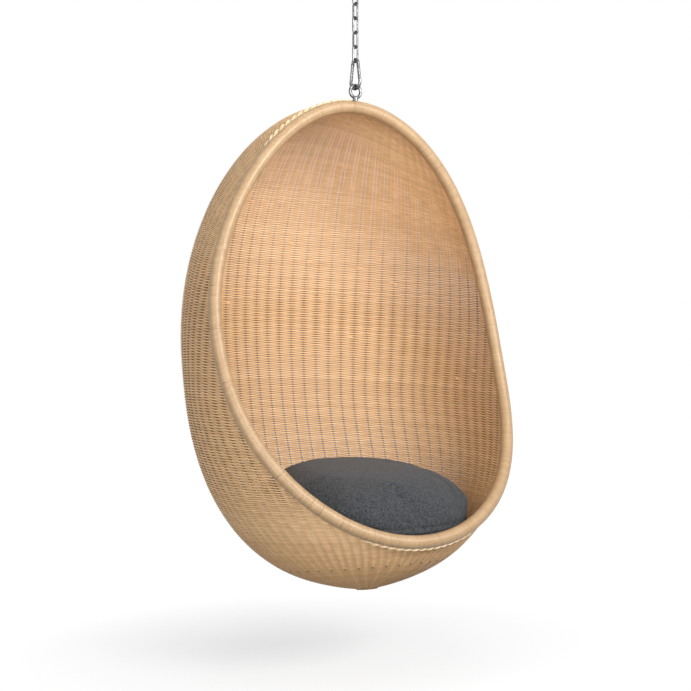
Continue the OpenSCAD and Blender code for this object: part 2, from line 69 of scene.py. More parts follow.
class Wire:
    """A value in a node tree. Sums and products on it add their Math nodes."""

    def __init__(self, socket):
        self.socket = socket

    def sum(self, kind, *others):
        node = self.socket.id_data.nodes.new("ShaderNodeMath")
        node.operation = kind
        for slot, value in zip(node.inputs, (self,) + others):
            feed(slot, value)
        return Wire(node.outputs[0])

    def __add__(self, other):
        return self.sum("ADD", other)

    def __mul__(self, other):
        return self.sum("MULTIPLY", other)

    def __sub__(self, other):
        return self.sum("SUBTRACT", other)

    def __rsub__(self, other):
        return self.sum("MULTIPLY_ADD", -1.0, other)

    def __truediv__(self, other):
        return self.sum("DIVIDE", other)

    def __pow__(self, other):
        return self.sum("POWER", other)

    def __mod__(self, other):
        return self.sum("FLOORED_MODULO", other)

    def floor(self):
        return self.sum("FLOOR")

    def sin(self):
        return self.sum("SINE")

    def abs(self):
        return self.sum("ABSOLUTE")

    def below(self, edge):
        return self.sum("LESS_THAN", edge)

    def held(self):
        """The value kept between 0 and 1."""
        return self.sum("MINIMUM", 1.0).sum("MAXIMUM", 0.0)

    __radd__, __rmul__ = __add__, __mul__


def feed(slot, value):
    """Sets a socket to a number, or links a wire to it."""
    if isinstance(value, Wire):
        slot.id_data.links.new(value.socket, slot)
    else:
        slot.default_value = value


def put(tree, kind, inputs=(), out=0, **settings):
    """Adds one node, with its settings and then its inputs, and gives an output."""
    node = tree.nodes.new(kind)
    for name, value in settings.items():
        setattr(node, name, value)
    for name, value in dict(inputs).items():
        feed(node.inputs[name], value)
    return Wire(node.outputs[out])


def looked_at(tree):
    """1 for what the camera sees, also in metal or through glass, and 0 for plain light."""
    path = tree.nodes.new("ShaderNodeLightPath")
    kinds = [Wire(path.outputs["Is %s Ray" % kind]) for kind in ("Camera", "Glossy", "Transmission")]
    return (kinds[0] + kinds[1] + kinds[2]).held()


world = bpy.data.worlds.new("studio")
bpy.context.scene.world = world
world.use_nodes = True
tree = world.node_tree
air = put(tree, "ShaderNodeBackground", {"Color": (0.96, 0.98, 1.0, 1), "Strength": AIR_LIGHT})
backdrop = put(tree, "ShaderNodeBackground", {"Color": (1, 1, 1, 1), "Strength": 1.0})
room = put(tree, "ShaderNodeMixShader", {0: looked_at(tree), 1: air, 2: backdrop})
feed(tree.nodes["World Output"].inputs["Surface"], room)


def lamp(name, place, target, size, power, spread=180):
    """A square soft lamp that faces the target."""
    light = bpy.data.lights.new(name, "AREA")
    light.spread = math.radians(spread)
    light.size = size
    light.energy = power
    piece = bpy.data.objects.new(name, light)
    bpy.context.scene.collection.objects.link(piece)
    piece.location = place
    piece.rotation_euler = (Vector(target) - Vector(place)).to_track_quat("-Z", "Y").to_euler()


lamp("key_lamp", (0.6, -3.1, 0.5), (0.0, 0.1, -1.0), 1.4, 120)
lamp("fill_lamp", (-2.5, -2.3, -0.7), (0, 0, -1.0), 2.0, 68)
lamp("top_lamp", (0.1, -0.6, 1.9), (0, 0, -0.9), 2.2, 9)
lamp("crown_lamp", (-0.3, -2.5, -1.0), (0.1, 0.3, -0.5), 0.8, 1.35, 34)

# Floor: plain white board, well under the chair. It takes the chair's soft
# shadow and goes over to white round it, and from below it isn't seen.
FLOOR_Z = -1.72
FLOOR_HALF = 9
SHADOW_R = 0.30
SHADOW_FADE = 0.70
FLOOR_GLOW = 1.03
floor_mesh = bpy.data.meshes.new("floor")
floor_corners = [(x * FLOOR_HALF, y * FLOOR_HALF, FLOOR_Z)
                 for x, y in ((-1, -1), (1, -1), (1, 1), (-1, 1))]
floor_mesh.from_pydata(floor_corners, [], [(0, 1, 2, 3)])
floor = bpy.data.objects.new("floor", floor_mesh)
bpy.context.scene.collection.objects.link(floor)


def blend_colour(tree, share, dark, light):
    """Mixes two colours by a wire's share."""
    node = tree.nodes.new("ShaderNodeMix")
    node.data_type = "RGBA"
    for name, value in (("Factor_Float", share), ("A_Color", dark), ("B_Color", light)):
        slot = next(s for s in node.inputs if s.identifier == name)
        feed(slot, value if isinstance(value, Wire) or name == "Factor_Float" else (*value, 1))
    return Wire(next(s for s in node.outputs if s.identifier == "Result_Color"))


def finish(name, **fixed):
    """A new material, its tree and its main shader, with fixed values set on it."""
    material = bpy.data.materials.new(name)
    material.use_nodes = True
    shader = material.node_tree.nodes["Principled BSDF"]
    for key, value in fixed.items():
        feed(shader.inputs[key.replace("_", " ")], value)
    return material, material.node_tree, shader


floor_paint, tree, shader = finish("floor_paint", Roughness=0.9)
floor_mesh.materials.append(floor_paint)
seen = looked_at(tree)
feed(shader.inputs["Base Color"], blend_colour(tree, seen, (0.1, 0.1, 0.1), (0.95, 0.95, 0.95)))
spot = put(tree, "ShaderNodeVectorMath", {0: put(tree, "ShaderNodeTexCoord", out="Object"),
                                          1: (1, 1, 0)}, operation="MULTIPLY")
away = put(tree, "ShaderNodeVectorMath", {0: spot}, out="Value", operation="LENGTH")
glow = put(tree, "ShaderNodeEmission", {"Color": (1, 1, 1, 1), "Strength": FLOOR_GLOW})
share = seen * (((away - SHADOW_R) / SHADOW_FADE).held() * 0.42 + 0.58)
both = put(tree, "ShaderNodeMixShader", {0: share, 1: Wire(shader.outputs[0]), 2: glow})
clear = put(tree, "ShaderNodeBsdfTransparent")
under = put(tree, "ShaderNodeNewGeometry", out="Backfacing")
both = put(tree, "ShaderNodeMixShader", {0: under, 1: both, 2: clear})
feed(tree.nodes["Material Output"].inputs["Surface"], both)

# Hanging gear: ceiling plate and eye, six welded links, snap hook with its gate
# and the eye of the chair. All are zinc-plated steel, dull in clouds and bright
# between them. Their CAD solids have the shape, so they only get this finish.
zinc, tree, shader = finish("zinc_plate", Metallic=1.0)
place = put(tree, "ShaderNodeTexCoord", out="Object")
cloud = put(tree, "ShaderNodeTexNoise", {"Vector": place, "Scale": 90.0, "Detail": 3.0})
grain = put(tree, "ShaderNodeTexNoise", {"Vector": place, "Scale": 900.0, "Detail": 2.0})
steel_colour = blend_colour(tree, cloud, (0.05, 0.052, 0.056), (0.27, 0.275, 0.29))
feed(shader.inputs["Base Color"], steel_colour)
feed(shader.inputs["Roughness"], cloud * 0.18 + 0.16)
feed(shader.inputs["Normal"], put(tree, "ShaderNodeBump",
                                  {"Height": grain, "Strength": 0.25, "Distance": 0.0004}))
STEEL_NODES = ["ceiling_plate", "ceiling_eye", "hook_body", "gate_rivet", "hook_gate", "latch_pin",
               "push_pin", "gate_spring", "hanging_eye", "eye_washer", "eye_nut", "eye_sleeve"]
STEEL_NODES += ["chain_link_%d" % k for k in range(1, 7)]


def dress(name, material):
    """Gives a CAD node its material."""
    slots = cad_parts[name].material_slots
    if not slots:
        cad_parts[name].data.materials.append(material)
    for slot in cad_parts[name].material_slots:
        slot.link = "OBJECT"
        slot.material = material


for name in STEEL_NODES:
    dress(name, zinc)

# The egg's form: the surface that the stakes are bent to, and the curved face
# of the opening, in the egg's own upright axes before it leans on its chain.
# OPENING holds the factors of the powers 0, 1, 2 and 4 of the height.
EGG_R, CROWN_H, BOWL_D = 0.407, 0.611, 0.581
CROWN_FULL, BOWL_FULL, BOWL_STEEP = 1.87, 2.17, 2.49
EGG_LEAN = math.radians(8.4)
OPENING = (-0.080, 0.061, -0.101, 0.019)


def leaned(points):
    """Turns points of the upright egg into the axes of the hanging chair."""
    c, s = math.cos(EGG_LEAN), math.sin(EGG_LEAN)
    x, y, z = points[..., 0], points[..., 1], points[..., 2]
    return np.stack([x, c * y + s * z, c * z - s * y], -1) + EGG_PLACE


def turned(vectors):
    """Turns directions of the upright egg into the axes of the hanging chair."""
    return leaned(vectors) - EGG_PLACE


def opening_y(z):
    """How far forward or back the opening lies at height z."""
    u = z / EGG_R
    return OPENING[0] + OPENING[1] * u + OPENING[2] * u ** 2 + OPENING[3] * u ** 4


def opening_rise(z):
    """The slope of the opening at height z."""
    u = z / EGG_R
    return (OPENING[1] + 2 * OPENING[2] * u + 4 * OPENING[3] * u ** 3) / EGG_R


def behind_opening(p):
    """Distance of points behind the surface of the opening."""
    return (p[..., 1] - opening_y(p[..., 2])) / np.sqrt(1 + opening_rise(p[..., 2]) ** 2)


def fullness(p):
    """1 on the egg's surface, less inside it."""
    r = np.hypot(p[..., 0], p[..., 1]) / EGG_R
    up = np.clip(p[..., 2], 0, None) / CROWN_H
    down = np.clip(-p[..., 2], 0, None) / BOWL_D
    return np.where(p[..., 2] > 0, r ** CROWN_FULL + up ** 2, r ** BOWL_FULL + down ** BOWL_STEEP)


def outward(p):
    """Outward direction of the egg's surface, in the upright egg."""
    step = 1e-5
    d = np.stack([fullness(p + step * np.eye(3)[k]) - fullness(p - step * np.eye(3)[k])
                  for k in range(3)], -1)
    return d / np.linalg.norm(d, axis=-1, keepdims=True)


def profile_r(z):
    """The egg's radius at height z."""
    up, down = np.clip(z, 0, CROWN_H) / CROWN_H, np.clip(-z, 0, BOWL_D) / BOWL_D
    return EGG_R * np.where(z > 0, (1 - up ** 2) ** (1 / CROWN_FULL),
                            (1 - down ** BOWL_STEEP) ** (1 / BOWL_FULL))


def hoop_line(count, set_back=0.0):
    """Points along the line where the opening, set back, meets the egg."""
    z = np.linspace(-BOWL_D, CROWN_H, 6001)
    room = profile_r(z) - np.abs(opening_y(z) + set_back)
    open_z = z[room > 0]
    turn = np.linspace(0, math.pi, 3001)
    z = (open_z[0] + open_z[-1]) / 2 - (open_z[-1] - open_z[0]) / 2 * np.cos(turn)
    y = opening_y(z) + set_back
    x = np.sqrt(np.clip(profile_r(z) ** 2 - y ** 2, 0, None))
    half = np.stack([x, y, z], -1)
    whole = np.concatenate([half, half[-2:0:-1] * (-1, 1, 1)])
    ring = np.concatenate([whole, whole[:1]])
    way = np.concatenate([[0], np.cumsum(np.linalg.norm(np.diff(ring, axis=0), axis=1))])
    at = np.linspace(0, way[-1], count, endpoint=False)
    return np.stack([np.interp(at, way, ring[:, k]) for k in range(3)], -1), way[-1]


# Stakes: 36 long rattan rods fan out from the knot under the bowl, and 36 more
# are pushed in beside them where they spread. All end behind the hoop.
STAKE_N = 72
STAKE_D = 0.0046
STAKE_BEND = 0.018
STAKE_START = 0.024
SIDE_STAKE_R = 0.201
SIDE_STAKE_PUSH = 0.007
HOOP_GAP = 0.006
FAN_LEAN = math.radians(8.4 + 4.5)
FAN_FOOT = np.array([0, 0, -BOWL_D])
fan_axis = np.array([0, -math.sin(FAN_LEAN), math.cos(FAN_LEAN)])
fan_side = np.array([0, math.cos(FAN_LEAN), math.sin(FAN_LEAN)])
FAN_HIGH = 0.62
fan_hub = FAN_FOOT + FAN_HIGH * fan_axis
FAN_SHIFT = BOWL_D * math.tan(FAN_LEAN)


def ease(value, low, high):
    """0 below low, 1 above high, and smooth between them."""
    t = np.clip((value - low) / (high - low), 0, 1)
    return t * t * (3 - 2 * t)


def meridians(angles, steps=900):
    """Lines on the egg from the knot over the back to the fan's far end.

    They leave the knot evenly, and are bent so that they also stand evenly
    round the egg's middle, though the fan leans forward."""
    swing = np.linspace(0, math.pi, steps)[None, :, None]
    even = np.arctan2(EGG_R * np.sin(angles), EGG_R * np.cos(angles) + FAN_SHIFT)
    bend = (even - angles + math.pi) % (2 * math.pi) - math.pi
    turn = angles[:, None, None] + bend[:, None, None] * ease(swing, 0.35, 1.25)
    spread = np.cos(turn) * fan_side + np.sin(turn) * [1.0, 0, 0]
    ray = spread * np.sin(swing) - fan_axis * np.cos(swing)
    near, far = np.zeros(ray.shape[:2]), np.full(ray.shape[:2], 1.3)
    for _ in range(40):
        mid = (near + far) / 2
        inside = fullness(fan_hub + mid[..., None] * ray) < 1
        near, far = np.where(inside, mid, near), np.where(inside, far, mid)
    points = fan_hub + near[..., None] * ray
    run = np.cumsum(np.linalg.norm(np.diff(points, axis=1, prepend=points[:, :1]), axis=2), axis=1)
    return points, run


def new_object(name, mesh):
    """An object of this mesh, in the scene."""
    piece = bpy.data.objects.new(name, mesh)
    bpy.context.scene.collection.objects.link(piece)
    return piece


def strings(name, lines, **marks):
    """One object of loose lines. Each mark is a value for every point, in step."""
    mesh = bpy.data.meshes.new(name)
    points = np.concatenate([line[0] for line in lines])
    edges, first = [], 0
    for line, closed in lines:
        n = len(line)
        index = np.arange(first, first + n)
        pairs = np.stack([index, np.roll(index, -1)], -1)
        edges.append(pairs if closed else pairs[:-1])
        first += n
    mesh.from_pydata(points.tolist(), np.concatenate(edges).tolist(), [])
    for mark, values in marks.items():
        values = np.concatenate(values)
        kind = "FLOAT_VECTOR" if values.ndim == 2 else "FLOAT"
        layer = mesh.attributes.new(mark, kind, "POINT")
        layer.data.foreach_set("vector" if values.ndim == 2 else "value", values.ravel())
    return new_object(name, mesh)


def modelled(guide, tree, name, **sizes):
    """Runs a geometry tree on a guide with these sizes, and gives a plain mesh."""
    modifier = guide.modifiers.new("make", "NODES")
    modifier.node_group = tree
    for item in tree.interface.items_tree:
        if item.in_out == "INPUT" and item.name in sizes:
            modifier[item.identifier] = sizes[item.name]
    graph = bpy.context.evaluated_depsgraph_get()
    mesh = bpy.data.meshes.new_from_object(guide.evaluated_get(graph), depsgraph=graph)
    mesh.name = name
    bpy.data.objects.remove(guide)
    return new_object(name, mesh)


def geometry_tree(name, **sizes):
    """A new geometry tree with a Geometry socket and these named number inputs."""
    tree = bpy.data.node_groups.new(name, "GeometryNodeTree")
    tree.interface.new_socket("Geometry", in_out="INPUT", socket_type="NodeSocketGeometry")
    tree.interface.new_socket("Geometry", in_out="OUTPUT", socket_type="NodeSocketGeometry")
    for key, value in sizes.items():
        kind = "NodeSocketInt" if isinstance(value, int) else "NodeSocketFloat"
        tree.interface.new_socket(key, in_out="INPUT", socket_type=kind).default_value = value
    entry = tree.nodes.new("NodeGroupInput")
    return tree, {s.name: Wire(s) for s in entry.outputs if s.name}


def close_tree(tree, shape, material):
    """Ends a geometry tree: smooth faces, real instances and the material."""
    shape = put(tree, "GeometryNodeRealizeInstances", {"Geometry": shape})
    shape = put(tree, "GeometryNodeSetShadeSmooth", {"Geometry": shape})
    shape = put(tree, "GeometryNodeSetMaterial", {"Geometry": shape, "Material": material})
    last = tree.nodes.new("NodeGroupOutput")
    feed(last.inputs["Geometry"], shape)


def cane_finish(name, pale, deep, gloss, painted_recess_shade=None):
    """Lacquered rattan: pale to deep by the strand's own tone, with fine fibre.

    Where the strand dips behind a stake or shows its side between rows, painted shade takes it towards
    the recess colour."""
    material, tree, shader = finish(name)
    place = put(tree, "ShaderNodeTexCoord", out="Object")
    tone = put(tree, "ShaderNodeAttribute", out="Fac", attribute_name="tone")
    patch = put(tree, "ShaderNodeTexNoise", {"Vector": place, "Scale": 26.0, "Detail": 3.0})
    fibre = put(tree, "ShaderNodeTexNoise", {"Vector": place, "Scale": 420.0, "Detail": 2.0})
    share = tone * 0.55 + patch * 0.45 + fibre * 0.2 - 0.12
    colour = blend_colour(tree, share.held(), deep, pale)
    # Painted shade: the recess colour is mixed in by the stored share of light, low where the core
    # dips behind a stake and on its sides.
    if painted_recess_shade:
        unshaded_share = put(tree, "ShaderNodeAttribute", out="Fac", attribute_name="painted_light_share")
        colour = blend_colour(tree, (unshaded_share * 1.05 + 0.68).held(), painted_recess_shade, colour)
    feed(shader.inputs["Base Color"], colour)
    feed(shader.inputs["Roughness"], gloss + fibre * 0.14)
    feed(shader.inputs["Normal"], put(tree, "ShaderNodeBump",
                                      {"Height": fibre, "Strength": 0.3, "Distance": 0.0006}))
    return material


# The stake's deep colour serves mostly as painted shade, where the stake shows only between the rows.
stake_cane = cane_finish("stake_cane", (0.62, 0.39, 0.20), (0.10, 0.05, 0.018), 0.6)
tree, socket = geometry_tree("rods", Radius=STAKE_D / 2, Sides=6)
line = put(tree, "GeometryNodeMeshToCurve", {"Mesh": socket["Geometry"]})
ring = put(tree, "GeometryNodeCurvePrimitiveCircle",
           {"Resolution": socket["Sides"], "Radius": socket["Radius"]})
shape = put(tree, "GeometryNodeCurveToMesh",
            {"Curve": line, "Profile Curve": ring, "Fill Caps": True})
close_tree(tree, shape, stake_cane)
rods_tree = tree


def cane_rods(name, lines, tones, cane, **sizes):
    """Round rods of one cane along these lines, each with its own tone."""
    guide = strings(name + "_lines", lines, tone=tones)
    piece = modelled(guide, rods_tree, name, **sizes)
    piece.data.materials.clear()
    piece.data.materials.append(cane)
    return piece


points, run = meridians(2 * math.pi * np.arange(STAKE_N) / STAKE_N)
lines, tones = [], []
dice = np.random.RandomState(4)
for k in range(STAKE_N):
    long_stake = k % 2 == 1
    reach = np.linalg.norm(points[k] - FAN_FOOT, axis=-1)
    start = STAKE_START if long_stake else SIDE_STAKE_R - SIDE_STAKE_PUSH
    row = points[k][(behind_opening(points[k]) > HOOP_GAP) & (reach > start)]
    way = np.concatenate([[0], np.cumsum(np.linalg.norm(np.diff(row, axis=0), axis=1))])
    at = np.linspace(0, way[-1], max(int(way[-1] / STAKE_BEND), 3))
    row = np.stack([np.interp(at, way, row[:, c]) for c in range(3)], -1)
    lines.append((leaned(row), False))
    # Through the back a stake shows only as shade between the rows, so there its colour is painted
    # shade, deep brown; the tips of the stakes that are pushed in get the same painted shade.
    painted_back_shade = ease(row[:, 2], -0.42, -0.24) * (1 - ease(row[:, 2], 0.04, 0.46))
    foot = np.exp(-(np.linalg.norm(row - FAN_FOOT, axis=1) - SIDE_STAKE_R) ** 2 / 0.012 ** 2)
    tones.append((0.8 + 0.4 * dice.rand()) * (1 - painted_back_shade) * (1 - foot * (not long_stake)))
stakes = cane_rods("stakes", lines, tones, stake_cane)
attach(stakes, "chair")
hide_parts("main_stakes", "side_stakes")

# Weave: rows of 3.5 mm rattan core, each in front of one stake and behind the
# next. The rows start as rings round the knot, rise level through the back and
# close as rings again where the stakes come together over the hoop.
ROW_STEP = 0.0032
FIRST_ROW = 9
CORE_D = 0.0035
WAVE = 0.0029
PER_STAKE = 4
WIDE_STAKES = 0.027
FOOT_SAG = 0.0065
PART_BY = 0.0034
PART_REACH = 0.009
CUT_BACK = 0.0075
# The last colour is painted shade, for the recesses of the weave and the sides of the strands.
core_cane = cane_finish("core_cane", (0.98, 0.68, 0.39), (0.70, 0.425, 0.205), 0.5,
                        (0.15, 0.07, 0.026))
column_n = STAKE_N * PER_STAKE
columns, run = meridians(2 * math.pi * np.arange(column_n) / column_n)
back, back_run = columns[0], run[0]
length = run[:, -1:]
level = columns @ fan_axis
top = int(np.argmax(back @ fan_axis))
rise = np.interp(level, (back @ fan_axis)[:top], back_run[:top])
near_top = back_run[-1] - (length - run)
# How far up a point lies, as the rows count it: by its distance from the knot
# at first, by its level through the back, and by its distance from the top.
climb = run + (rise - run) * ease(run, 0.16, 0.46)
climb = climb + (near_top - climb) * ease(run / length, 0.62, 0.86)
climb = np.maximum.accumulate(climb + np.linspace(0, 1e-6, climb.shape[1]), axis=1)
gap = behind_opening(columns)
face = outward(columns)


def free_edge(p):
    """1 where the rows run along the hoop, over and under the seat, else 0."""
    side = np.abs(p[..., 0])
    return np.where(p[..., 2] < 0, 1 - ease(side, 0.13, 0.17), 1 - ease(side, 0.22, 0.27))


inside_cut = gap - CUT_BACK * (1 + free_edge(columns))
# The rows part a little over the tips of the stakes that are pushed in.
foot_reach = np.linalg.norm(columns - FAN_FOOT, axis=-1)
foot_climb = np.array([np.interp(SIDE_STAKE_R, foot_reach[j, :top], climb[j, :top])
                       for j in range(column_n)])
parted = np.where(np.arange(column_n) % (2 * PER_STAKE) == 0, 1.0, 0.0)
parted = parted + 0.45 * (np.roll(parted, 1) + np.roll(parted, -1))

dice = np.random.RandomState(11)
row_n = int(back_run[-1] / ROW_STEP)


def taut(way, slack):
    """1 over a stake and -1 under the next, nearly straight between them or slack."""
    saw = 1 - 2 * np.abs((way + 1) % 2 - 1)
    return saw * ((1.12 - 0.12 * saw ** 2) * (1 - slack) + np.abs(saw) * slack)


def sunk(points):
    """The bottom of the bowl hangs a little lower round the knot than the plain form."""
    r = np.linalg.norm(points - FAN_FOOT, axis=-1, keepdims=True)
    return points - np.array([0, 0, FOOT_SAG]) * np.exp(-(r / 0.075) ** 2)


band, below = [], None
for i in range(FIRST_ROW, row_n):
    ahead = i * ROW_STEP - foot_climb
    part_by = PART_BY * parted * np.sign(ahead) * np.exp(-np.abs(ahead) / PART_REACH)
    at = np.array([np.interp(i * ROW_STEP + part_by[j], climb[j], np.arange(climb.shape[1]))
                   for j in range(column_n)])
    low = np.clip(at.astype(int), 0, climb.shape[1] - 2)
    part = (at - low)[:, None]
    j = np.arange(column_n)
    spot = columns[j, low] * (1 - part) + columns[j, low + 1] * part
    way_out = face[j, low]
    room = inside_cut[j, low] * (1 - part[:, 0]) + inside_cut[j, low + 1] * part[:, 0]
    reach = np.linalg.norm(spot - FAN_FOOT, axis=1)
    few = reach < SIDE_STAKE_R + 0.004
    slack = 1 - ease(reach, 0.20, 0.36)
    fine = taut(j / PER_STAKE + i, slack)
    coarse = taut((j - PER_STAKE) / (2 * PER_STAKE) + i, slack)
    # The core waves less where the stakes stand close together, and in the crown.
    spread = np.linalg.norm(np.roll(spot, -PER_STAKE, axis=0) - spot, axis=1)
    lift = WAVE * np.where(few, coarse, fine) * np.clip(spread / WIDE_STAKES, 0.4, 1)
    lift = lift * np.where(lift < 0, 1 - 0.3 * slack, 1) * (1 - 0.25 * ease(spot[:, 2], 0.10, 0.50))
    fit = np.ones(column_n)
    if below is not None:
        fit = np.clip(np.linalg.norm(spot - below, axis=1) / ROW_STEP, 0.5, 1)
    below = spot
    keep = room > 0
    if not keep.any():
        continue
    # Painted shade: the rows under the bowl are made darker, as the underside is turned away from the
    # light above.
    tone = dice.rand() - 0.8 * (1 - ease(i * ROW_STEP, 0.20, 0.48))
    band.append((spot, way_out, lift, fit, keep, room, tone, i))


def split_row(spot, way_out, lift, fit, keep, room):
    """The woven stretches of one row, each ended where it meets the hoop."""
    n = len(spot)
    if keep.all():
        return [(spot, way_out, lift, fit, True)]
    start = int(np.argmax(~keep))
    order = (np.arange(n) + start) % n
    out, now = [], []
    for a in order:
        if keep[a]:
            now.append(a)
        elif now:
            out.append(now)
            now = []
    if now:
        out.append(now)
    made = []
    for stretch in out:
        before, after = (stretch[0] - 1) % n, (stretch[-1] + 1) % n
        rows = [spot[stretch], way_out[stretch], lift[stretch][:, None], fit[stretch][:, None]]
        for a, b, put_first in ((stretch[0], before, True), (stretch[-1], after, False)):
            t = room[a] / (room[a] - room[b])
            ends = [v[a] * (1 - t) + v[b] * t for v in (spot, way_out, lift[:, None], fit[:, None])]
            rows = [np.concatenate([[e], r] if put_first else [r, [e]]) for e, r in zip(ends, rows)]
        made.append((rows[0], rows[1], rows[2][:, 0], rows[3][:, 0], False))
    return [m for m in made if len(m[0]) > 3]


tree, socket = geometry_tree("weavers", Radius=CORE_D / 2, Sides=6, Wave=WAVE, Uneven=0.1)
lift = put(tree, "GeometryNodeInputNamedAttribute", {"Name": "lift"}, data_type="FLOAT")
way = put(tree, "GeometryNodeInputNamedAttribute", {"Name": "way"}, data_type="FLOAT_VECTOR")
offset = put(tree, "ShaderNodeVectorMath", {0: way, "Scale": lift}, operation="SCALE")
moved = put(tree, "GeometryNodeSetPosition", {"Geometry": socket["Geometry"], "Offset": offset})
line = put(tree, "GeometryNodeMeshToCurve", {"Mesh": moved})
rough = put(tree, "ShaderNodeTexNoise", {"Scale": 55.0, "Detail": 1.0}, noise_dimensions="3D")
fit = put(tree, "GeometryNodeInputNamedAttribute", {"Name": "fit"}, data_type="FLOAT")
line = put(tree, "GeometryNodeSetCurveRadius",
           {"Curve": line, "Radius": ((rough - 0.5) * socket["Uneven"] * 2 + 1.0) * fit})
ring = put(tree, "GeometryNodeCurvePrimitiveCircle",
           {"Resolution": socket["Sides"], "Radius": socket["Radius"]})
shape = put(tree, "GeometryNodeCurveToMesh",
            {"Curve": line, "Profile Curve": ring, "Fill Caps": True})
facing = put(tree, "ShaderNodeVectorMath", {0: put(tree, "GeometryNodeInputNormal"), 1: way},
             out="Value", operation="DOT_PRODUCT")
# Painted shade: the share of light stored on the core, low where it dips behind a stake and on its
# sides between the rows.
shape = put(tree, "GeometryNodeStoreNamedAttribute",
            {"Geometry": shape, "Name": "painted_light_share",
             "Value": facing * lift / socket["Wave"] + (facing.abs() - 0.6) * 0.75},
            data_type="FLOAT", domain="POINT")
close_tree(tree, shape, core_cane)

PIECE_POINTS = 15500
weave, lines, ways, lifts, fits, tones, count = [], [], [], [], [], [], 0
for spot, way_out, lift, fit, keep, room, tone, i in band:
    for p, w, l, f, closed in split_row(spot, way_out, lift, fit, keep, room):
        lines.append((leaned(sunk(p)), closed))
        ways.append(turned(w))
        lifts.append(l)
        fits.append(f)
        tones.append(np.full(len(p), tone))
        count += len(p)
    if count > PIECE_POINTS or i == band[-1][-1]:
        name = "weave_band_%d" % (len(weave) + 1)
        guide = strings(name + "_lines", lines, way=ways, lift=lifts, fit=fits, tone=tones)
        weave.append(modelled(guide, tree, name))
        lines, ways, lifts, fits, tones, count = [], [], [], [], [], 0
for piece in weave:
    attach(piece, "chair")
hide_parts("woven_shell")

# Spliced ends: where a weaver runs out, its end and the next one's beginning
# stand a little proud inside the seat, more of them up in the crown.
SPLICE_N = 44
SPLICE_L = 0.017
SPLICE_SAG = 0.005
SPLICE_RISE = ((0, 0.0030), (0.35, 0.0062), (0.7, 0.0066), (1.0, 0.0056))
FROM_HOOP = 0.06
dice = np.random.RandomState(52)
lines, tones = [], []
while len(lines) < SPLICE_N:
    j = dice.randint(column_n)
    k = int(dice.uniform(0.3, 0.86) ** 0.8 * columns.shape[1])
    if gap[j, k] < FROM_HOOP:
        continue
    ahead = columns[(j + 3) % column_n, k] - columns[j, k]
    ahead *= SPLICE_L / np.linalg.norm(ahead)
    up = columns[j, k] - columns[j, k - 1]
    up /= np.linalg.norm(up)
    end = np.array([columns[j, k] + ahead * share - up * SPLICE_SAG * share ** 2 - face[j, k] * high
                    for share, high in SPLICE_RISE])
    lines.append((leaned(end), False))
    tones.append(np.full(4, dice.rand()))
splices = cane_rods("splices", lines, tones, core_cane, Radius=CORE_D * 0.5)
# The splice ends get no painted shade.
layer = splices.data.attributes.new("painted_light_share", "FLOAT", "POINT")
layer.data.foreach_set("value", np.ones(len(splices.data.vertices)))
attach(splices, "chair")

# Hoop: a 28 mm rattan pole, out of sight, wound with split peel about 6 mm wide.
# The turns lie edge to edge, with a few open seams where a length ends.
HOOP_R = 0.01565
PEEL_W = 0.0058
peel, tree, shader = finish("lacquered_peel")
place = put(tree, "ShaderNodeTexCoord", out="Object")
along = put(tree, "ShaderNodeAttribute", out="Fac", attribute_name="along")
turn = put(tree, "ShaderNodeAttribute", out="Fac", attribute_name="around")
wind = along / PEEL_W + turn
cell = put(tree, "ShaderNodeTexWhiteNoise", {"W": wind.floor()}, out="Value", noise_dimensions="1D")
edge = ((wind % 1.0) - 0.5).abs() * 2
patch = put(tree, "ShaderNodeTexNoise", {"Vector": place, "Scale": 14.0, "Detail": 3.0})
fibre = put(tree, "ShaderNodeTexNoise", {"Vector": place, "Scale": 600.0, "Detail": 2.0})
line_dark = edge ** 14.0
share = cell * 0.4 + patch * 0.7 + fibre * 0.12 - 0.12
colour = blend_colour(tree, share.held(), (0.345, 0.212, 0.104), (0.475, 0.318, 0.174))
colour = blend_colour(tree, line_dark * (0.12 + cell * 0.4), colour, (0.36, 0.2, 0.08))
open_seam = put(tree, "ShaderNodeAttribute", out="Fac", attribute_name="seam")
colour = blend_colour(tree, open_seam * 0.75, colour, (0.16, 0.09, 0.04))
feed(shader.inputs["Base Color"], colour)
feed(shader.inputs["Roughness"], 0.28 + fibre * 0.12 + line_dark * 0.2)
feed(shader.inputs["Normal"], put(tree, "ShaderNodeBump", {
    "Height": (1.0 - line_dark) * 0.7 + cell * 0.3, "Strength": 0.5, "Distance": 0.0006}))

# The open seams, as shares of the way round the hoop from its lowest point.
SEAMS = (0.3837, 0.4017, 0.4990, 0.7107, 0.7447, 0.7873, 0.8677, 0.8983, 0.9070, 0.9247)
SEAM_W = 0.0010


def near_seam(way):
    """1 within half a seam's width of one of the open seams along the hoop."""
    marks = [(way - at * hoop_length).abs().below(SEAM_W / 2) for at in SEAMS]
    total = marks[0]
    for mark in marks[1:]:
        total = total + mark
    return total


